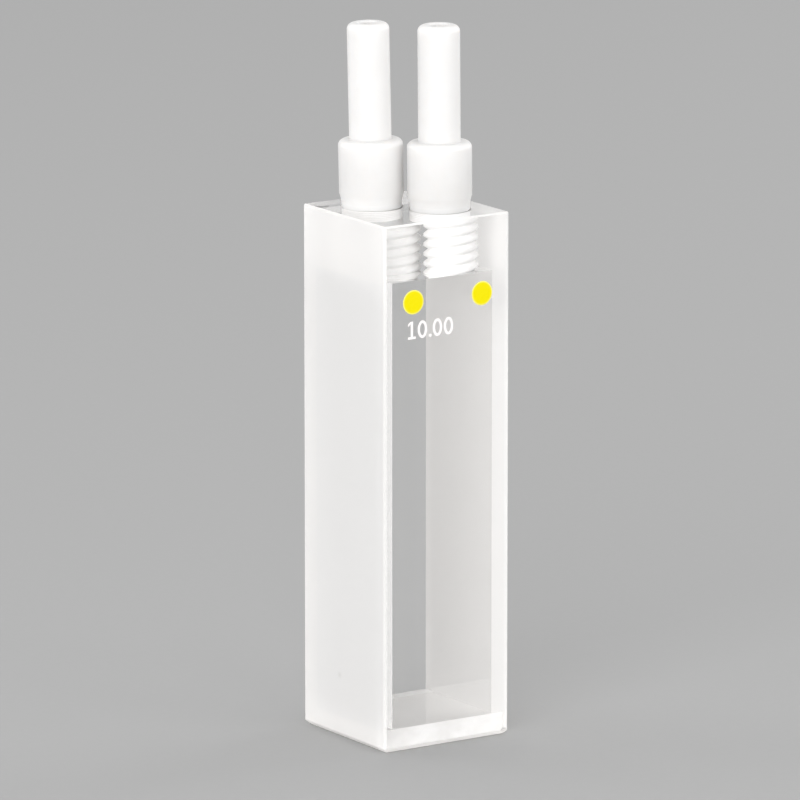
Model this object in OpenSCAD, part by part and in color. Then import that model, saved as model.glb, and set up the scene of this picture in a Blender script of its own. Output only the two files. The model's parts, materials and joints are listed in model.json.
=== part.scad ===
// Screw-port flow cell: a square quartz cuvette whose solid head carries two tube fittings.
// The glass is fused from six ground and polished pieces, which meet face to face.
// The origin is the middle of the base, +Z is up, and the clear windows face -Y and +Y.

/* [Glass cell] */
// Width across the two ground side faces
cell_w = 12.5; // [10:0.1:20]
// Depth across the two clear windows
cell_d = 12.5; // [10:0.1:20]
// Height of the glass, without the fittings
cell_h = 45; // [35:0.5:60]
// Thickness of each of the four walls
wall_t = 1.25; // [0.8:0.05:2]
// Thickness of the floor
floor_t = 1.8; // [1:0.1:4]
// Height of the solid head above the chamber
head_h = 5; // [4:0.1:8]
// Width taken off each upright edge
upright_break = 0.2; // [0.05:0.05:0.4]
// Width taken off the edges round the base
base_break = 0.4; // [0.05:0.05:0.6]
// Width taken off the edges round the top
top_break = 0.15; // [0.05:0.05:0.5]

/* [Screw ports] */
// Thread diameter of each port, measured over its roots
port_d = 5.1; // [4:0.05:7]
// Countersink at the mouth of each port
port_lead = 0.15; // [0.05:0.05:0.3]
// Room all round between a fitting's shank and its port
thread_play = 0.1; // [0.08:0.01:0.1]
// Gap between the two fittings' shoulders
shoulder_gap = 0.34; // [0.3:0.02:1]
// Direction of the left port from the middle of the head, about +Z
port_turn = 135; // [120:1:150]

/* [Tube fittings] */
// Bore that the liquid flows through
flow_d = 1.6; // [1:0.1:2]
// Diameter of the stem that the tube pushes onto
stem_d = 3.56; // [3:0.02:4.4]
// Length of the stem above the shoulder
stem_h = 9.85; // [6:0.1:15]
// Rounding of the stem's free end
stem_round = 0.55; // [0.1:0.05:0.6]
// How far the shoulder stands out past the port's thread, all round
shoulder_lip = 0.17; // [0.05:0.005:0.3]
// Height of the shoulder's straight side, with its rounded top edge
shoulder_h = 4.6; // [3:0.05:6]
// Rounding of the shoulder's top edge
shoulder_round = 0.5; // [0.1:0.05:0.6]
// Height of the cone under the shoulder
cone_h = 0.65; // [0.3:0.05:1]
// How far the thread stands above the head
neck_h = 0.5; // [0.3:0.05:1]
// How far each fitting is screwed into its port
screwed_in = 3.25; // [2:0.05:4.5]
// Chamfer at the lower end of the shank
shank_lead = 0.3; // [0.1:0.05:0.5]
// Lean of the left fitting away from the right one, in its loose thread
left_lean = 1.2; // [0:0.1:2.2]
// Lean of the right fitting the same way, towards the left one
right_lean = 0.4; // [0:0.1:1.6]

/* [Hidden] */
$fn = 64;

clear_quartz = [0.85, 0.88, 0.89, 0.4];
ground_quartz = [0.94, 0.94, 0.93];
ptfe = [0.98, 0.98, 0.97];
past = 1; // how far a cutter runs past the face that it opens

inner_x = cell_w / 2 - wall_t;
inner_y = cell_d / 2 - wall_t;
head_z = cell_h - head_h;

shank_d = port_d - 2 * thread_play;
shoulder_d = port_d + 2 * shoulder_lip;
port_spacing = shoulder_d + shoulder_gap;
port_at = port_spacing / 2 * [cos(port_turn), sin(port_turn)];

cone_z = neck_h;
shoulder_z = cone_z + cone_h;
stem_z = shoulder_z + shoulder_h;
fitting_top = stem_z + stem_h;

// A rectangle centred on the origin whose four corners are cut at 45 degrees.
module chamfered(w, d, cut) {
    x = w / 2;
    y = d / 2;
    polygon([
        [x, cut - y], [x, y - cut], [x - cut, y], [cut - x, y],
        [-x, y - cut], [-x, cut - y], [cut - x, -y], [x - cut, -y]
    ]);
}

// The side view of the glass: a rectangle standing on the base, with other cuts below than above.
module side_outline(w) {
    x = w / 2;
    polygon([
        [x - base_break, 0], [x, base_break], [x, cell_h - top_break], [x - top_break, cell_h],
        [top_break - x, cell_h], [-x, cell_h - top_break], [-x, base_break], [base_break - x, 0]
    ]);
}

// The outside of the fused glass, where three outlines with broken edges cross.
module glass_block() {
    intersection() {
        linear_extrude(cell_h) chamfered(cell_w, cell_d, upright_break);
        rotate([90, 0, 0]) linear_extrude(2 * cell_d, center = true) side_outline(cell_w);
        rotate([90, 0, 90]) linear_extrude(2 * cell_w, center = true) side_outline(cell_d);
    }
}

// One screw port through the head, drawn at the thread's roots, with a countersunk mouth.
module port() {
    translate([0, 0, head_z - past]) cylinder(d = port_d, h = head_h + 2 * past);
    translate([0, 0, cell_h - port_lead])
        cylinder(d1 = port_d, d2 = port_d + 2 * port_lead, h = port_lead);
    translate([0, 0, cell_h]) cylinder(d = port_d + 2 * port_lead, h = past);
}

// One piece of the glass: the box that it fills, cut to the block's outside.
module glass_piece(from, to, tint) {
    color(tint) intersection() {
        glass_block();
        translate(from) cube(to - from);
    }
}

// The windows are as wide as the cell, and hold the side walls and the floor between them.
module front_window() {
    glass_piece([-cell_w / 2, -cell_d / 2, 0], [cell_w / 2, -inner_y, head_z], clear_quartz);
}

module back_window() {
    glass_piece([-cell_w / 2, inner_y, 0], [cell_w / 2, cell_d / 2, head_z], clear_quartz);
}

// The ground side walls set the light path by their width.
module left_wall() {
    glass_piece([-cell_w / 2, -inner_y, 0], [-inner_x, inner_y, head_z], ground_quartz);
}

module right_wall() {
    glass_piece([inner_x, -inner_y, 0], [cell_w / 2, inner_y, head_z], ground_quartz);
}

module floor_plate() {
    glass_piece([-inner_x, -inner_y, 0], [inner_x, inner_y, floor_t], ground_quartz);
}

// The head closes the chamber. It is as wide as the cell, so it stays whole round a port of any size.
module head_block() {
    difference() {
        glass_piece([-cell_w / 2, -cell_d / 2, head_z], [cell_w / 2, cell_d / 2, cell_h], clear_quartz);
        for (side = [1, -1]) translate(side * port_at) port();
    }
}

// A half section with its top outer corner rounded, to be turned about the axis.
module rounded_half(r, h, corner) {
    square([r - corner, h]);
    square([r, h - corner]);
    translate([r - corner, h - corner]) circle(corner);
}

// Half the section of a fitting, from its shank to its stem. Height 0 is the head's top face.
module fitting_half() {
    polygon([
        [0, -screwed_in], [shank_d / 2 - shank_lead, -screwed_in],
        [shank_d / 2, shank_lead - screwed_in], [shank_d / 2, cone_z],
        [shoulder_d / 2, shoulder_z], [0, shoulder_z]
    ]);
    translate([0, shoulder_z]) rounded_half(shoulder_d / 2, shoulder_h, shoulder_round);
    translate([0, stem_z - past]) rounded_half(stem_d / 2, stem_h + past, stem_round);
}

module fitting() {
    color(ptfe) difference() {
        rotate_extrude() fitting_half();
        translate([0, 0, -screwed_in - past])
            cylinder(d = flow_d, h = fitting_top + screwed_in + 2 * past);
    }
}

// A fitting in the port at a place, leaning about the middle of the stretch that is screwed in.
module leaning_fitting(at, lean) {
    pivot = screwed_in / 2;
    translate([at[0], at[1], cell_h - pivot])
        rotate([0, 0, port_turn])
            rotate([0, lean, 0])
                translate([0, 0, pivot]) fitting();
}

module left_fitting() {
    leaning_fitting(port_at, left_lean);
}

module right_fitting() {
    leaning_fitting(-port_at, right_lean);
}

front_window();
back_window();
left_wall();
right_wall();
floor_plate();
head_block();
left_fitting();
right_fitting();
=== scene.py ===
"""Looks of the screw-port flow cell: one fused quartz body with true port threads, two turned PTFE fittings
and the fired print on the front window.

Lengths are in metres, and MM turns millimetres into metres. The frame gives the glass's outside, its chamber
and head, the bores, the stems and where the fittings stand. The edges and the fittings repeat the part's own
sizes. The threads and the print are as measured in the photograph.
"""

import json
import math

import bpy
from mathutils import Matrix, Vector
from mathutils.geometry import delaunay_2d_cdt

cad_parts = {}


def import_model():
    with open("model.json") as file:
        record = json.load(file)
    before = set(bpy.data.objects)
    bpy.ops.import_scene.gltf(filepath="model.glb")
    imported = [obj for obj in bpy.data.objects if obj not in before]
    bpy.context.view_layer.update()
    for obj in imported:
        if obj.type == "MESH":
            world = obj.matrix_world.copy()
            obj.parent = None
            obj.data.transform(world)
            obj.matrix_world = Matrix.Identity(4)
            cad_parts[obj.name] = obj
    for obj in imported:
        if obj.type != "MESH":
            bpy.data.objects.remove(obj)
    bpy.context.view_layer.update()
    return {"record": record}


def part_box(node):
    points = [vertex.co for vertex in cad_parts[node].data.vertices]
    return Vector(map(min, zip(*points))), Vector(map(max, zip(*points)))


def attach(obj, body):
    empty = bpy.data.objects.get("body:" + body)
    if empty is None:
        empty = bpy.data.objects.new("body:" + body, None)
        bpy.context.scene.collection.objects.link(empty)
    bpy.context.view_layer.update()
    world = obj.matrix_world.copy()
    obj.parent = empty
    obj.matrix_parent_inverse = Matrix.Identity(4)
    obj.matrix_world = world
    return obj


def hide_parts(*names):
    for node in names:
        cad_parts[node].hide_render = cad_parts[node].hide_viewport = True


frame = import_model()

MM = 0.001

# The cell, from the frame
HEAD_LOW, HEAD_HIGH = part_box("head_block")
FLOOR_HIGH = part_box("floor_plate")[1]
HALF = HEAD_HIGH.x
TOP = HEAD_HIGH.z
HEAD_Z = HEAD_LOW.z
HEAD_H = TOP - HEAD_Z
INNER = FLOOR_HIGH.x
FLOOR_Z = FLOOR_HIGH.z

# The ground breaks along the block's edges
UPRIGHT_BREAK = 0.2 * MM
BASE_BREAK = 0.4 * MM
TOP_BREAK = 0.15 * MM

# The threads: one right-handed helix in the port and on the shank, which is smaller all round by the play
PITCH = 0.81 * MM
PORT_ROOT_R = 2.55 * MM
PORT_MOUTH_R = 2.62 * MM
THREAD_DEPTH = 0.41 * MM
PLAY = 0.1 * MM
NECK_R = 2.53 * MM
ROUND_STEPS = 96
ROWS_A_PITCH = 20
# How far above the chamber each port's thread has its root at angle 0
LEFT_START = 0.34 * MM
RIGHT_START = 0.45 * MM

# The fittings, in their own frame: height 0 is the head's top face
MOUNTS = {mount["name"]: mount for mount in frame["record"]["mounts"]}
BORE_R = MOUNTS["right_flow_bore"]["dims"]["r_mm"] * MM
BORE_LEAD = 0.1 * MM
STEM_R = MOUNTS["right_stem"]["dims"]["r_mm"] * MM
STEM_Z = 5.75 * MM
STEM_TOP = 15.6 * MM
STEM_ROUND = 0.55 * MM
SHOULDER_R = 2.72 * MM
SHOULDER_Z = 1.15 * MM
SHOULDER_ROUND = 0.5 * MM
CONE_Z = 0.5 * MM
SHANK_END = 3.25 * MM
SHANK_LEAD = 0.3 * MM
STEM_MIDDLE = (STEM_Z + STEM_TOP - STEM_ROUND) / 2

# The print on the front window
PRINT_PROUD = 0.015 * MM
PRINT_GAP = 0.002 * MM
DOT_R = 1.03 * MM
DOT_Z = 38.36 * MM
DOT_X = (-3.4 * MM, 3.46 * MM)
LINE_Z = 35.98 * MM
DIGIT_H = 1.5 * MM
STROKE = 0.23 * MM
ONE_X = -3.55 * MM
ZERO_X = (-2.5 * MM, -1.0 * MM, 0.1 * MM)
ZERO_W = 0.94 * MM
POINT_X = -1.72 * MM
POINT_R = 0.14 * MM


# Shader nodes

def new_material(name):
    """A material with only an output, its node tree and that output."""
    material = bpy.data.materials.new(name)
    material.use_nodes = True
    tree = material.node_tree
    tree.nodes.clear()
    return material, tree, tree.nodes.new("ShaderNodeOutputMaterial")


def feed(tree, socket, value):
    """Links a value that is a socket, and sets any other."""
    if isinstance(value, bpy.types.NodeSocket):
        tree.links.new(value, socket)
    else:
        socket.default_value = value


def node(tree, kind, **values):
    """A node with the given inputs, by name or, as in0 and so on, by number."""
    made = tree.nodes.new("ShaderNode" + kind)
    for name, value in values.items():
        key = int(name[2:]) if name.startswith("in") else name.replace("_", " ")
        feed(tree, made.inputs[key], value)
    return made


def grey(level, warmth=0.0):
    """A linear colour from an 8-bit sRGB level, warmer towards red by some levels."""
    def linear(value):
        value = value / 255
        return value / 12.92 if value <= 0.04045 else ((value + 0.055) / 1.055) ** 2.4
    return (linear(level + warmth), linear(level), linear(level - warmth), 1.0)


def vector_math(tree, operation, first, second=None):
    """A Vector Math node on a socket and, where the operation takes one, a fixed vector."""
    made = tree.nodes.new("ShaderNodeVectorMath")
    made.operation = operation
    tree.links.new(first, made.inputs[0])
    if second is not None:
        made.inputs[1].default_value = second
    return made


def combined(tree, operation, first, second):
    """The result of a Math node."""
    made = tree.nodes.new("ShaderNodeMath")
    made.operation = operation
    for socket, value in zip(made.inputs, (first, second)):
        feed(tree, socket, value)
    return made.outputs[0]


def object_place(tree):
    """The piece's own coordinates, in millimetres."""
    place = tree.nodes.new("ShaderNodeTexCoord").outputs["Object"]
    scale = vector_math(tree, "SCALE", place)
    scale.inputs["Scale"].default_value = 1 / MM
    return scale.outputs["Vector"]


def noise(tree, place, scale, detail=3.0, roughness=0.55):
    """A noise's value over place, in features a millimetre."""
    made = node(tree, "TexNoise", Vector=place, Scale=scale, Detail=detail, Roughness=roughness)
    return made.outputs["Fac"]


def spread(tree, value, low, high):
    """value, a noise of about 0.3 to 0.7, stretched from low to high."""
    made = node(tree, "MapRange", Value=value, From_Min=0.3, From_Max=0.7, To_Min=low, To_Max=high)
    return made.outputs["Result"]


def blend_colour(tree, share, low, high):
    """The colour from low to high by share."""
    made = tree.nodes.new("ShaderNodeMix")
    made.data_type = "RGBA"
    tree.links.new(share, made.inputs["Factor"])
    colours = [socket for socket in made.inputs if socket.type == "RGBA"]
    for socket, value in zip(colours, (low, high)):
        feed(tree, socket, value)
    return next(socket for socket in made.outputs if socket.type == "RGBA")


def edge_mask(tree, value, at, width):
    """1 while value is under at, and 0 above it, over a soft width."""
    made = node(tree, "MapRange", Value=value, From_Min=at - width, From_Max=at + width,
                To_Min=1.0, To_Max=0.0)
    made.interpolation_type = "SMOOTHSTEP"
    return made.outputs["Result"]


def between(tree, value, low, high, width):
    """1 while value is between low and high, with soft ends."""
    return combined(tree, "SUBTRACT", edge_mask(tree, value, high, width), edge_mask(tree, value, low, width))


def spot(tree, place, at, radius):
    """1 in a small soft spot round one place."""
    gap = vector_math(tree, "DISTANCE", place, at)
    return edge_mask(tree, gap.outputs["Value"], radius, radius * 0.8)


# Glass

QUARTZ_IOR = 1.458
CLEAR_TINT = (0.997, 0.997, 0.996, 1.0)
# The chamber's side faces: glass tinted darker, painted shade for the tone that the walls show through the
# window
SIDE_SHADE_TINT = (0.69, 0.68, 0.672, 1.0)


def polished_quartz(name, tint):
    """Clear polished quartz, with the faintest smears on it. Lamps shine straight through."""
    material, tree, output = new_material(name)
    smears = spread(tree, noise(tree, object_place(tree), scale=0.25, detail=2.0), 0.0, 0.012)
    glass = node(tree, "BsdfPrincipled", Base_Color=tint, Roughness=smears, IOR=QUARTZ_IOR,
                 Transmission_Weight=1.0)
    lamps_through = node(tree, "BsdfTransparent", Color=(0.97, 0.97, 0.97, 1.0))
    path = tree.nodes.new("ShaderNodeLightPath")
    both = node(tree, "MixShader", in0=path.outputs["Is Shadow Ray"], in1=glass.outputs[0],
                in2=lamps_through.outputs[0])
    tree.links.new(both.outputs[0], output.inputs["Surface"])
    return material


def ground_surface(name, colours, through, grain, bump, base=None):
    """Ground quartz: a matt skin that lets a share of the light through.

    colours makes the skin's colour and that of the light that comes through. through is or makes the share.
    grain is in features a millimetre, and base makes the normal that the grain is added to.
    """
    material, tree, output = new_material(name)
    place = object_place(tree)
    tint, passed = colours(tree, place)
    rough = spread(tree, noise(tree, place, grain), 0.6, 0.8)
    fine_grain = noise(tree, place, grain * 3, detail=4.0)
    height = node(tree, "Bump", Height=fine_grain, Strength=bump, Distance=0.02 * MM)
    if base:
        tree.links.new(base(tree), height.inputs["Normal"])
    normal = height.outputs[0]
    skin = node(tree, "BsdfPrincipled", Base_Color=tint, Roughness=rough, IOR=QUARTZ_IOR, Normal=normal)
    glow = node(tree, "BsdfTranslucent", Color=passed, Normal=normal)
    share = through(tree, place) if callable(through) else through
    both = node(tree, "MixShader", in0=share, in1=skin.outputs[0], in2=glow.outputs[0])
    tree.links.new(both.outputs[0], output.inputs["Surface"])
    return material


def chamber_shade_zone(tree, split, depths):
    """1 on a ground side where the painted shade over the chamber goes: from the floor to the head, between
    two depths in millimetres.
    """
    across = between(tree, split.outputs["Y"], *depths, width=0.16)
    up = between(tree, split.outputs["Z"], FLOOR_Z / MM, HEAD_Z / MM, width=0.2)
    return combined(tree, "MULTIPLY", across, up)


def ground_side_colours(tree, place):
    """The ground sides' colour and that of the light through them. Painted shade makes the tone deeper over
    the chamber, and the right face a little darker all over.
    """
    # Painted shade: the tones over the chamber, and the whole right face, are darker for how light falls in
    # the cell. The left band sits where it is seen through the glass.
    left_pale, left_deep, left_chamber_shade = grey(253.5, 1.2), grey(251, 1.6), grey(250, 0.5)
    right_solid_shade, right_chamber_shade = grey(246.5, 1.4), grey(241.5, 1.0)
    left_shade_depths, right_shade_depths = (-5.8, 4.2), (-5.0, 5.0)
    speck_at, speck_radius = (-HALF / MM, 0.66, 5.4), 0.22
    speck_colour, speck_strength = grey(190, 2), 0.35

    split = node(tree, "SeparateXYZ", Vector=place)
    on_left = edge_mask(tree, split.outputs["X"], 0.0, 1.0)
    on_right = combined(tree, "SUBTRACT", 1.0, on_left)
    left = combined(tree, "MULTIPLY", chamber_shade_zone(tree, split, left_shade_depths), on_left)
    right = combined(tree, "MULTIPLY", chamber_shade_zone(tree, split, right_shade_depths), on_right)
    cloud = spread(tree, noise(tree, place, scale=0.35, detail=2.0), 0.0, 0.25)
    left_solid = blend_colour(tree, cloud, left_pale, left_deep)
    solid = blend_colour(tree, on_left, right_solid_shade, left_solid)
    chamber_shade = blend_colour(tree, on_left, right_chamber_shade, left_chamber_shade)
    skin = blend_colour(tree, combined(tree, "ADD", left, right), solid, chamber_shade)
    speck = combined(tree, "MULTIPLY", spot(tree, place, speck_at, speck_radius), speck_strength)
    return blend_colour(tree, speck, skin, speck_colour), solid


def ground_side_share(tree, place):
    """The share of light that comes through the ground sides.

    The base stands on something, so hardly any comes in there. Its bevel is lit from inside.
    """
    sides, base, bevel = 0.5, -0.45, 0.25
    base_z, soft = 0.03, 0.02
    height = node(tree, "SeparateXYZ", Vector=place).outputs["Z"]
    on_base = combined(tree, "MULTIPLY", edge_mask(tree, height, base_z, soft), base)
    on_bevel = combined(tree, "MULTIPLY", between(tree, height, base_z, BASE_BREAK / MM, soft), bevel)
    return combined(tree, "ADD", combined(tree, "ADD", on_base, on_bevel), sides)


def ground_quartz():
    """The ground sides, edges and base, with painted shade over the chamber and on the right face."""
    return ground_surface("ground_quartz", ground_side_colours, ground_side_share, grain=3.0, bump=0.25)


def joint_painted_light():
    """Painted light: a white sheet at the floor plate's edges, where it meets the windows, with cloudy
    patches. It brightens the strip under the chamber as light from below does.
    """
    def colours(tree, place):
        cloud = spread(tree, noise(tree, place, scale=0.7, detail=2.0), 0.0, 1.0)
        tint = blend_colour(tree, cloud, grey(247, 0.5), grey(235, 1))
        return tint, tint
    return ground_surface("joint_painted_light", colours, through=0.3, grain=3.0, bump=0.2)


def drum_normal(tree):
    """The surface's normal with half of its lean up or down taken out, as dull light shows a fine thread."""
    half_lean = (1.0, 1.0, 0.5)
    geometry = tree.nodes.new("ShaderNodeNewGeometry")
    level = vector_math(tree, "MULTIPLY", geometry.outputs["Normal"], half_lean)
    return vector_math(tree, "NORMALIZE", level.outputs["Vector"]).outputs["Vector"]


def ground_thread():
    """The ports' ground threads, with cloudy patches."""
    def colours(tree, place):
        cloud = spread(tree, noise(tree, place, scale=1.2, detail=3.0), 0.0, 1.0)
        tint = blend_colour(tree, cloud, grey(248, 0.6), grey(243, 1.2))
        return tint, tint
    return ground_surface("ground_thread", colours, through=0.06, grain=4.0, bump=0.15, base=drum_normal)


# PTFE and print

def ptfe():
    """Turned PTFE: waxy white, with faint rings round the axis."""
    ring_stretch = (0.15, 0.15, 6.0)
    material, tree, output = new_material("ptfe")
    place = object_place(tree)
    ring_place = vector_math(tree, "MULTIPLY", place, ring_stretch).outputs["Vector"]
    rings = noise(tree, ring_place, scale=1.0, detail=4.0, roughness=0.6)
    cloud = spread(tree, noise(tree, place, scale=0.8, detail=3.0), 0.0, 1.0)
    tint = blend_colour(tree, cloud, grey(223, 0.8), grey(221, 1.2))
    rough = spread(tree, rings, 0.36, 0.5)
    height = node(tree, "Bump", Height=rings, Strength=0.25, Distance=0.02 * MM)
    skin = node(tree, "BsdfPrincipled", Base_Color=tint, Roughness=rough, IOR=1.38, Normal=height.outputs[0],
                Subsurface_Weight=0.8, Subsurface_Radius=(1.0, 0.95, 0.9), Subsurface_Scale=1.2 * MM)
    tree.links.new(skin.outputs[0], output.inputs["Surface"])
    return material


def rim_share(tree, place, start, end):
    """0 up to start from the piece's own middle, and 1 from end on, in millimetres across the window."""
    in_window = (1.0, 0.0, 1.0)
    flat = vector_math(tree, "MULTIPLY", place, in_window)
    reach = vector_math(tree, "LENGTH", flat.outputs["Vector"])
    made = node(tree, "MapRange", Value=reach.outputs["Value"], From_Min=start, From_Max=end)
    return made.outputs["Result"]


def enamel(name, middle, rim, rim_reach, back):
    """Fired print, paler where it thins out at its rim. back is the colour of its face against the glass."""
    material, tree, output = new_material(name)
    place = object_place(tree)
    grain = spread(tree, noise(tree, place, scale=6.0, detail=3.0), 0.0, 0.05)
    edge = combined(tree, "MAXIMUM", rim_share(tree, place, *rim_reach), grain)
    geometry = tree.nodes.new("ShaderNodeNewGeometry")
    towards_back = node(tree, "SeparateXYZ", Vector=geometry.outputs["Normal"]).outputs["Y"]
    on_front = edge_mask(tree, towards_back, 0.5, 0.1)
    tint = blend_colour(tree, on_front, back, blend_colour(tree, edge, middle, rim))
    rough = spread(tree, noise(tree, place, scale=8.0), 0.3, 0.45)
    fine_grain = noise(tree, place, scale=10.0, detail=3.0)
    height = node(tree, "Bump", Height=fine_grain, Strength=0.15, Distance=0.01 * MM)
    skin = node(tree, "BsdfPrincipled", Base_Color=tint, Roughness=rough, IOR=1.5, Normal=height.outputs[0],
                Specular_IOR_Level=0.04)
    tree.links.new(skin.outputs[0], output.inputs["Surface"])
    return material


def yellow_print():
    """The dots' yellow, with a thin paler rim."""
    rim_reach = (DOT_R / MM * 0.85, DOT_R / MM * 0.95)
    return enamel("print_yellow", (0.78, 0.68, 0.0, 1), (0.86, 0.80, 0.18, 1), rim_reach, grey(110, 1))


def white_print():
    """The number's white. Its rim starts beyond the last digit, so none shows."""
    rim_reach = (20.0, 30.0)
    return enamel("print_white", (0.87, 0.84, 0.83, 1), (0.90, 0.88, 0.87, 1), rim_reach, grey(225, 1))


# Threads

def thread_form(phase):
    """0 at the root of the port's thread and 1 at its crest, for a phase in turns.

    The root is rounded, and the crest is sharp.
    """
    root_flat = 0.26
    crest_flat = 0.06
    rounding = 1.2
    t = 1 - abs(2 * (phase % 1.0) - 1)
    share = (t - root_flat) / (1 - root_flat - crest_flat)
    return min(1.0, max(0.0, share)) ** rounding


def port_radius(angle, z, start):
    """The port's radius, with a countersunk mouth. At angle 0 the thread has its root at height start."""
    phase = (z - start) / PITCH - angle / math.tau
    threaded = PORT_ROOT_R - THREAD_DEPTH * thread_form(phase)
    return max(threaded, PORT_MOUTH_R - (TOP - z))


def shank_radius(angle, z, start):
    """The shank's radius, z from the head's top face: the port's form with play all round, and plain ends."""
    flank_play = 0.06
    fade_length = 0.35 * MM
    phase = (z - start) / PITCH - angle / math.tau
    t = 0.5 - abs((phase % 1.0) - 0.5)
    form = thread_form(min(0.5, t + flank_play))
    crest_r = PORT_ROOT_R - PLAY
    fade = min(1.0, max(0.0, -z / fade_length))
    threaded = (crest_r - THREAD_DEPTH * form) * fade + NECK_R * (1 - fade)
    room = port_radius(angle, TOP + z, TOP + start) - PLAY if z < 0 else NECK_R
    return min(threaded, room, crest_r - SHANK_LEAD + (z + SHANK_END))


# Meshes

class Shell:
    """Vertices and faces of one mesh, with a material index for each face."""

    def __init__(self):
        self.vertices = []
        self.faces = []
        self.materials = []

    def add(self, points):
        """Adds vertices and returns their indices."""
        first = len(self.vertices)
        self.vertices += [tuple(point) for point in points]
        return list(range(first, len(self.vertices)))

    def face(self, corners, material=0):
        """Adds one face."""
        self.faces.append(tuple(corners))
        self.materials.append(material)

    def face_towards(self, corners, material, outward):
        """Adds one face, wound so that it looks along outward."""
        a, b, c = (Vector(self.vertices[i]) for i in corners[:3])
        if (b - a).cross(c - a).dot(Vector(outward)) < 0:
            corners = corners[::-1]
        self.face(corners, material)

    def band(self, lower, upper, material=0, outward=True):
        """Quads between two closed rings of as many points."""
        count = len(lower)
        for i in range(count):
            j = (i + 1) % count
            corners = (lower[i], lower[j], upper[j], upper[i])
            self.face(corners if outward else corners[::-1], material)

    def made(self, name, materials, smooth_angle=None):
        """The object, with its vertices in the shell's own coordinates."""
        mesh = bpy.data.meshes.new(name)
        mesh.from_pydata(self.vertices, [], self.faces)
        for material in materials:
            mesh.materials.append(material)
        mesh.polygons.foreach_set("material_index", self.materials)
        if smooth_angle is not None:
            mesh.polygons.foreach_set("use_smooth", [True] * len(mesh.polygons))
            mesh.set_sharp_from_angle(angle=smooth_angle)
        mesh.validate()
        mesh.update()
        piece = bpy.data.objects.new(name, mesh)
        bpy.context.scene.collection.objects.link(piece)
        return piece


def circle(radius, z, middle=(0.0, 0.0), steps=ROUND_STEPS):
    """Points round a circle. radius is a number, or a function of the angle."""
    points = []
    for i in range(steps):
        angle = math.tau * i / steps
        r = radius(angle) if callable(radius) else radius
        points.append((middle[0] + r * math.cos(angle), middle[1] + r * math.sin(angle), z))
    return points


def inside(point, ring):
    """Whether a point is inside a ring that is nearly round about its middle."""
    slack = 0.999
    middle = sum(ring, Vector((0, 0))) / len(ring)
    turn = math.atan2(point.y - middle.y, point.x - middle.x) % math.tau
    nearest = ring[round(turn / math.tau * len(ring)) % len(ring)]
    return (point - middle).length < (nearest - middle).length * slack


def fill_with_holes(shell, outline, holes, upward, material):
    """A flat face at one height, between an outline and round holes. Each is a list of vertex indices."""
    weld = 1e-6
    flat = []
    index = []
    edges = []
    loops = []
    for loop in [outline, *holes]:
        first = len(flat)
        loops.append([Vector(shell.vertices[i][:2]) / MM for i in loop])
        flat += loops[-1]
        index += loop
        edges += [(first + i, first + (i + 1) % len(loop)) for i in range(len(loop))]
    found = delaunay_2d_cdt(flat, edges, [], 0, weld)
    places, triangles, origins = found[0], found[2], found[3]
    for triangle in triangles:
        a, b, c = (places[i] for i in triangle)
        if any(inside((a + b + c) / 3, ring) for ring in loops[1:]):
            continue
        corners = [index[origins[i][0]] for i in triangle]
        if ((b - a).cross(c - a) > 0) != upward:
            corners.reverse()
        shell.face(corners, material)


# The glass cell, whose materials come in this order

POLISHED, GROUND, THREAD, JOINT_LIGHT, SIDE = 0, 1, 2, 3, 4


def corner_points(edge_break):
    """Where the breaks meet at a corner, as distances in from the two sides and from the end.

    The first point is on the end face, the second on the upright break's middle, the last two on the sides.
    """
    middle = UPRIGHT_BREAK / 2
    return [(edge_break, edge_break, 0), (middle, middle, edge_break - middle),
            (0, UPRIGHT_BREAK, edge_break), (UPRIGHT_BREAK, 0, edge_break)]


def outer_faces(shell):
    """The block's outside but for its top face: flat sides, and ground breaks along every edge.

    Returns the top face's corners.
    """
    corners = {}
    for sx in (1, -1):
        for sy in (1, -1):
            points = [(sx * (HALF - x), sy * (HALF - y), z) for x, y, z in corner_points(BASE_BREAK)]
            points += [(sx * (HALF - x), sy * (HALF - y), TOP - z) for x, y, z in corner_points(TOP_BREAK)]
            corners[sx, sy] = shell.add(points)
    for s in (1, -1):
        sides = [((s, -1), (s, 1), 2, (s, 0), GROUND), ((-1, s), (1, s), 3, (0, s), POLISHED)]
        for first, second, low, outward, material in sides:
            a, b = corners[first], corners[second]
            high = low + 4
            shell.face_towards([a[low], b[low], b[high], a[high]], material, (*outward, 0))
            shell.face_towards([a[0], a[1], a[low], b[low], b[1], b[0]], GROUND, (*outward, -1))
            shell.face_towards([a[4], a[5], a[high], b[high], b[5], b[4]], GROUND, (*outward, 1))
    for (sx, sy), c in corners.items():
        shell.face_towards([c[1], c[2], c[6], c[5], c[7], c[3]], GROUND, (sx, sy, 0))
    around = [(1, 1), (-1, 1), (-1, -1), (1, -1)]
    shell.face_towards([corners[key][0] for key in around], GROUND, (0, 0, -1))
    return [corners[key][4] for key in around]


def port_wall(shell, middle, start):
    """One threaded port, from the chamber's ceiling to the head's top. Returns its bottom and top rings."""
    rows = round(HEAD_H / PITCH * ROWS_A_PITCH)
    heights = [HEAD_Z + HEAD_H * i / rows for i in range(rows + 1)]
    rings = [shell.add(circle(lambda a, z=z: port_radius(a, z, start), z, middle)) for z in heights]
    for lower, upper in zip(rings, rings[1:]):
        shell.band(lower, upper, THREAD, outward=False)
    return rings[0], rings[-1]


def port_middle(name):
    """Where a flow bore's axis crosses the head, half way down the shank that is screwed in."""
    mount = MOUNTS[name]
    place, axis = Vector(mount["pos_m"]), Vector(mount["axis"])
    at = place + axis * ((TOP - SHANK_END / 2 - place.z) / axis.z)
    return (at.x, at.y)


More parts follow.
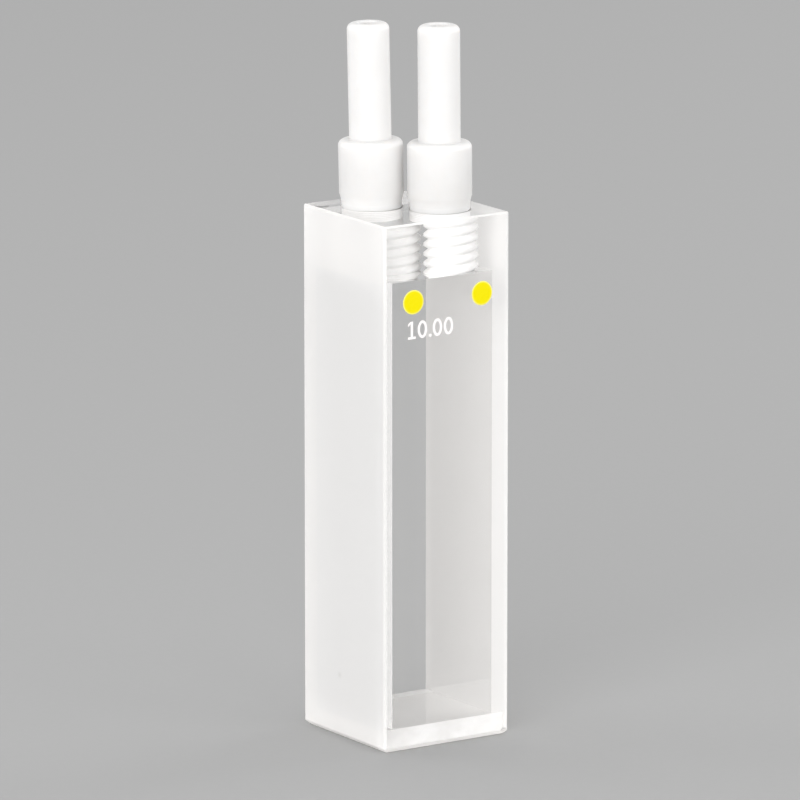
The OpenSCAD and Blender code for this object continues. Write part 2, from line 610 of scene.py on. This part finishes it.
def joint_light_sheet(shell, y):
    """An open white sheet of painted light on an edge of the floor plate, just inside the block's sides,
    bevel and base.
    """
    half = HALF - 0.02 * MM
    low = 0.05 * MM
    high = FLOOR_Z - 0.01 * MM
    bevel = BASE_BREAK
    outline = [(-half, low + bevel), (-half + bevel, low), (half - bevel, low), (half, low + bevel),
               (half, high), (-half, high)]
    shell.face(shell.add([(x, y, z) for x, z in outline]), JOINT_LIGHT)


def glass_cell():
    """The whole fused glass as one closed mesh: its outside, the chamber, and the two ports between them.

    Two open white sheets inside it, at the floor plate's joints, are painted light that brightens the strip
    under the chamber.
    """
    shell = Shell()
    top = outer_faces(shell)
    outline = [(INNER, INNER), (-INNER, INNER), (-INNER, -INNER), (INNER, -INNER)]
    floor = shell.add([(x, y, FLOOR_Z) for x, y in outline])
    ceiling = shell.add([(x, y, HEAD_Z) for x, y in outline])
    # The chamber's side faces take the darker tinted glass: painted shade.
    for i, material in enumerate((POLISHED, SIDE, POLISHED, SIDE)):
        j = (i + 1) % 4
        shell.face((floor[j], floor[i], ceiling[i], ceiling[j]), material)
    shell.face(floor, POLISHED)
    ports = [port_wall(shell, port_middle("left_flow_bore"), HEAD_Z + LEFT_START),
             port_wall(shell, port_middle("right_flow_bore"), HEAD_Z + RIGHT_START)]
    # The joint sheets are painted light: white sheets that brighten the strip under the chamber.
    for y in (-INNER, INNER):
        joint_light_sheet(shell, y)
    fill_with_holes(shell, top, [upper for _, upper in ports], True, POLISHED)
    fill_with_holes(shell, ceiling, [lower for lower, _ in ports], False, POLISHED)
    materials = [polished_quartz("polished_quartz", CLEAR_TINT), ground_quartz(), ground_thread(),
                 joint_painted_light(), polished_quartz("shaded_side_quartz", SIDE_SHADE_TINT)]
    piece = shell.made("glass_cell", materials, smooth_angle=math.radians(30))
    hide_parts("front_window", "back_window", "left_wall", "right_wall", "floor_plate", "head_block")
    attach(piece, "cell")
    return piece


# The fittings

def arc(middle_r, middle_z, radius, steps=8):
    """Points of a quarter round from the side to the top, as (radius, height)."""
    points = []
    for i in range(steps + 1):
        angle = i / steps * math.pi / 2
        points.append((middle_r + radius * math.cos(angle), middle_z + radius * math.sin(angle)))
    return points


def stem_foot(steps=4):
    """Points of the small fillet between the shoulder's top and the stem, as (radius, height)."""
    fillet = 0.12 * MM
    points = []
    for i in range(steps + 1):
        angle = i / steps * math.pi / 2
        points.append((STEM_R + fillet * (1 - math.sin(angle)), STEM_Z + fillet * (1 - math.cos(angle))))
    return points


def fitting_section():
    """The fitting above its thread: cone, shoulder, stem and the top of the bore, as (radius, height)."""
    bore_top_lead = 0.12 * MM
    points = [(SHOULDER_R - 0.05 * MM, SHOULDER_Z - 0.04 * MM), (SHOULDER_R, SHOULDER_Z + 0.05 * MM)]
    points += arc(SHOULDER_R - SHOULDER_ROUND, STEM_Z - SHOULDER_ROUND, SHOULDER_ROUND)
    points += stem_foot()
    points += arc(STEM_R - STEM_ROUND, STEM_TOP - STEM_ROUND, STEM_ROUND)
    points += [(BORE_R + bore_top_lead, STEM_TOP), (BORE_R, STEM_TOP - bore_top_lead)]
    return points


def fitting_place(stem):
    """The matrix that puts a fitting's own axis on its stem's mount."""
    mount = MOUNTS[stem]
    axis = Vector(mount["axis"]).normalized()
    turn = Vector((0, 0, 1)).rotation_difference(axis).to_matrix().to_4x4()
    return Matrix.Translation(Vector(mount["pos_m"]) - axis * STEM_MIDDLE) @ turn


def tube_fitting(name, start, stem, body, node_name):
    """One turned PTFE fitting on its own axis, placed by its stem's mount."""
    shell = Shell()
    rows = round((CONE_Z + SHANK_END) / PITCH * ROWS_A_PITCH)
    heights = [-SHANK_END + (CONE_Z + SHANK_END) * i / rows for i in range(rows + 1)]
    rings = [shell.add(circle(lambda a, z=z: shank_radius(a, z, start), z)) for z in heights]
    rings += [shell.add(circle(r, z)) for r, z in fitting_section()]
    rings += [shell.add(circle(BORE_R, -SHANK_END + BORE_LEAD)),
              shell.add(circle(BORE_R + BORE_LEAD, -SHANK_END))]
    for lower, upper in zip(rings, rings[1:] + rings[:1]):
        shell.band(lower, upper)
    piece = shell.made(name, [ptfe()], smooth_angle=math.radians(40))
    piece.matrix_world = fitting_place(stem)
    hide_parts(node_name)
    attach(piece, body)
    return piece


# The print

def on_window(piece, x, z):
    """Puts a printed piece on the front window. The gap lets light reach its back through the glass."""
    piece.location = (x, -HALF - PRINT_GAP, z)
    return piece


def dot(name, x):
    """One yellow spot, slightly crowned as fired enamel is."""
    shell = Shell()
    crown = [(1.0, 0.0), (0.985, 0.55), (0.93, 0.9), (0.6, 1.0)]
    rings = []
    for radius_share, height_share in crown:
        points = circle(DOT_R * radius_share, 0.0, steps=64)
        rings.append(shell.add([(px, -PRINT_PROUD * height_share, pz) for px, pz, _ in points]))
    for lower, upper in zip(rings, rings[1:]):
        shell.band(lower, upper)
    shell.face(rings[-1])
    shell.face(rings[0][::-1])
    piece = on_window(shell.made(name, [yellow_print()], smooth_angle=math.radians(60)), x, DOT_Z)
    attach(piece, "cell")
    return piece


def plate(shell, outline):
    """A printed shape from its outline, a list of (x, z) that runs anticlockwise as seen from the front."""
    back = shell.add([(x, 0, z) for x, z in outline])
    front = shell.add([(x, -PRINT_PROUD, z) for x, z in outline])
    shell.band(back, front)
    shell.face(front)
    shell.face(back[::-1])


def closed_stroke(shell, path, width):
    """A printed line of one width along a closed path, a list of (x, z)."""
    rows = []
    count = len(path)
    for i in range(count):
        along = (Vector(path[(i + 1) % count]) - Vector(path[i - 1])).normalized()
        side = Vector((-along.y, along.x)) * width / 2
        low, high = Vector(path[i]) - side, Vector(path[i]) + side
        rows.append(shell.add([(low.x, 0, low.y), (low.x, -PRINT_PROUD, low.y),
                               (high.x, -PRINT_PROUD, high.y), (high.x, 0, high.y)]))
    for first, second in zip(rows, rows[1:] + rows[:1]):
        shell.band(first, second, outward=False)


def one(shell, x):
    """A plain 1 with a flag and a foot."""
    foot, flag, drop = 0.39 * MM, 0.38 * MM, 0.3 * MM
    low, high = -DIGIT_H / 2, DIGIT_H / 2
    half = STROKE / 2
    foot_top = low + STROKE * 0.9
    flag_z = high - drop
    plate(shell, [(x - foot, low), (x + foot, low), (x + foot, foot_top), (x + half, foot_top),
                  (x + half, high), (x - half, high), (x - flag, flag_z + half), (x - flag, flag_z - half),
                  (x - half, flag_z + half), (x - half, foot_top), (x - foot, foot_top)])


def zero(shell, x):
    """A plain, narrow 0."""
    across, up = (ZERO_W - STROKE) / 2, (DIGIT_H - STROKE) / 2
    steps = 48
    turns = [math.tau * i / steps for i in range(steps)]
    closed_stroke(shell, [(x + across * math.cos(a), up * math.sin(a)) for a in turns], STROKE)


def point(shell, x):
    """A round decimal point on the line."""
    z = POINT_R - DIGIT_H / 2
    steps = 24
    turns = [math.tau * i / steps for i in range(steps)]
    plate(shell, [(x + POINT_R * math.cos(a), z + POINT_R * math.sin(a)) for a in turns])


def marking():
    """The cell's light path in millimetres, as plain numbers."""
    shell = Shell()
    one(shell, ONE_X)
    for x in ZERO_X:
        zero(shell, x)
    point(shell, POINT_X)
    piece = on_window(shell.made("marking", [white_print()]), 0.0, LINE_Z)
    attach(piece, "cell")
    return piece


# The studio

# Soft lamps: name, place, size and watts
LAMPS = [
    ("left", (-0.5, -0.4, 0.2), (0.5, 0.4), 2.6),
    ("front", (0.05, -0.62, 0.2), (0.5, 0.4), 1.0),
    ("right", (0.6, 0.05, 0.2), (0.4, 0.4), 1.0),
    ("back", (-0.4, 0.5, 0.2), (0.4, 0.4), 0.8),
]
LAMP_TARGET = (0, 0, 0.03)
SKY_LIGHT = 0.9
SKY_SHOWN = grey(190)


def backdrop():
    """A plain pale floor that fills the view, a hair under the base."""
    half = 1.5
    z = -0.03 * MM
    material, tree, output = new_material("backdrop")
    grain = spread(tree, noise(tree, object_place(tree), scale=1.5, detail=2.0), 0.0, 1.0)
    tint = blend_colour(tree, grain, grey(166), grey(165))
    skin = node(tree, "BsdfPrincipled", Base_Color=tint, Roughness=0.9)
    tree.links.new(skin.outputs[0], output.inputs["Surface"])
    corners = [(-half, -half, z), (half, -half, z), (half, half, z), (-half, half, z)]
    floor = bpy.data.meshes.new("floor")
    floor.from_pydata(corners, [], [(0, 1, 2, 3)])
    floor.materials.append(material)
    piece = bpy.data.objects.new("floor", floor)
    bpy.context.scene.collection.objects.link(piece)


def soft_box(name, place, size, watts):
    """A large soft lamp that faces the object."""
    lamp = bpy.data.lights.new(name, "AREA")
    lamp.shape = "RECTANGLE"
    lamp.size, lamp.size_y = size
    lamp.energy = watts
    holder = bpy.data.objects.new(name, lamp)
    holder.location = place
    holder.rotation_mode = "QUATERNION"
    holder.rotation_quaternion = (Vector(LAMP_TARGET) - Vector(place)).to_track_quat("-Z", "Y")
    bpy.context.scene.collection.objects.link(holder)


def world():
    """Even light from all round. Glass and gloss show a plain sky of the floor's tone."""
    made = bpy.data.worlds.new("studio")
    made.use_nodes = True
    tree = made.node_tree
    tree.nodes.clear()
    output = tree.nodes.new("ShaderNodeOutputWorld")
    path = tree.nodes.new("ShaderNodeLightPath").outputs
    clear = combined(tree, "MAXIMUM", path["Is Glossy Ray"], path["Is Transmission Ray"])
    shown = combined(tree, "MAXIMUM", path["Is Camera Ray"], clear)
    scattered = combined(tree, "MAXIMUM", path["Is Diffuse Ray"], path["Diffuse Depth"])
    seen = combined(tree, "SUBTRACT", shown, scattered)
    seen.node.use_clamp = True
    light = node(tree, "Background", Color=(1.0, 1.0, 1.0, 1.0), Strength=SKY_LIGHT)
    plain = node(tree, "Background", Color=SKY_SHOWN, Strength=1.0)
    both = node(tree, "MixShader", in0=seen, in1=light.outputs[0], in2=plain.outputs[0])
    tree.links.new(both.outputs[0], output.inputs["Surface"])
    bpy.context.scene.world = made


def camera():
    """The photograph's angle: a long lens, from the left and a little above."""
    azimuth, elevation = math.radians(-33.4), math.radians(12.32)
    distance = 700 * MM
    target = Vector((-0.4, 0.31, 28.5)) * MM
    back = Vector((math.sin(azimuth) * math.cos(elevation), -math.cos(azimuth) * math.cos(elevation),
                   math.sin(elevation)))
    lens = bpy.data.cameras.new("camera")
    lens.sensor_width = 36
    lens.lens = 374.6
    lens.clip_start = 0.01
    lens.clip_end = 20
    holder = bpy.data.objects.new("camera", lens)
    holder.location = target + back * distance
    holder.rotation_mode = "QUATERNION"
    holder.rotation_quaternion = (-back).to_track_quat("-Z", "Y")
    bpy.context.scene.collection.objects.link(holder)
    bpy.context.scene.camera = holder


def studio():
    """The view, the light and the camera. Rays cross many glass faces here, so they may bounce often."""
    bpy.context.scene.view_settings.view_transform = "Standard"
    paths = bpy.context.scene.cycles
    paths.max_bounces = 24
    paths.diffuse_bounces = 8
    paths.glossy_bounces = 16
    paths.transmission_bounces = 20
    backdrop()
    for lamp in LAMPS:
        soft_box(*lamp)
    world()
    camera()


glass_cell()
tube_fitting("left_tube_fitting", LEFT_START - HEAD_H, "left_stem", "left_connector", "left_fitting")
tube_fitting("right_tube_fitting", RIGHT_START - HEAD_H, "right_stem", "right_connector", "right_fitting")
for side, x in zip(("left", "right"), DOT_X):
    dot(side + "_dot", x)
marking()
studio()
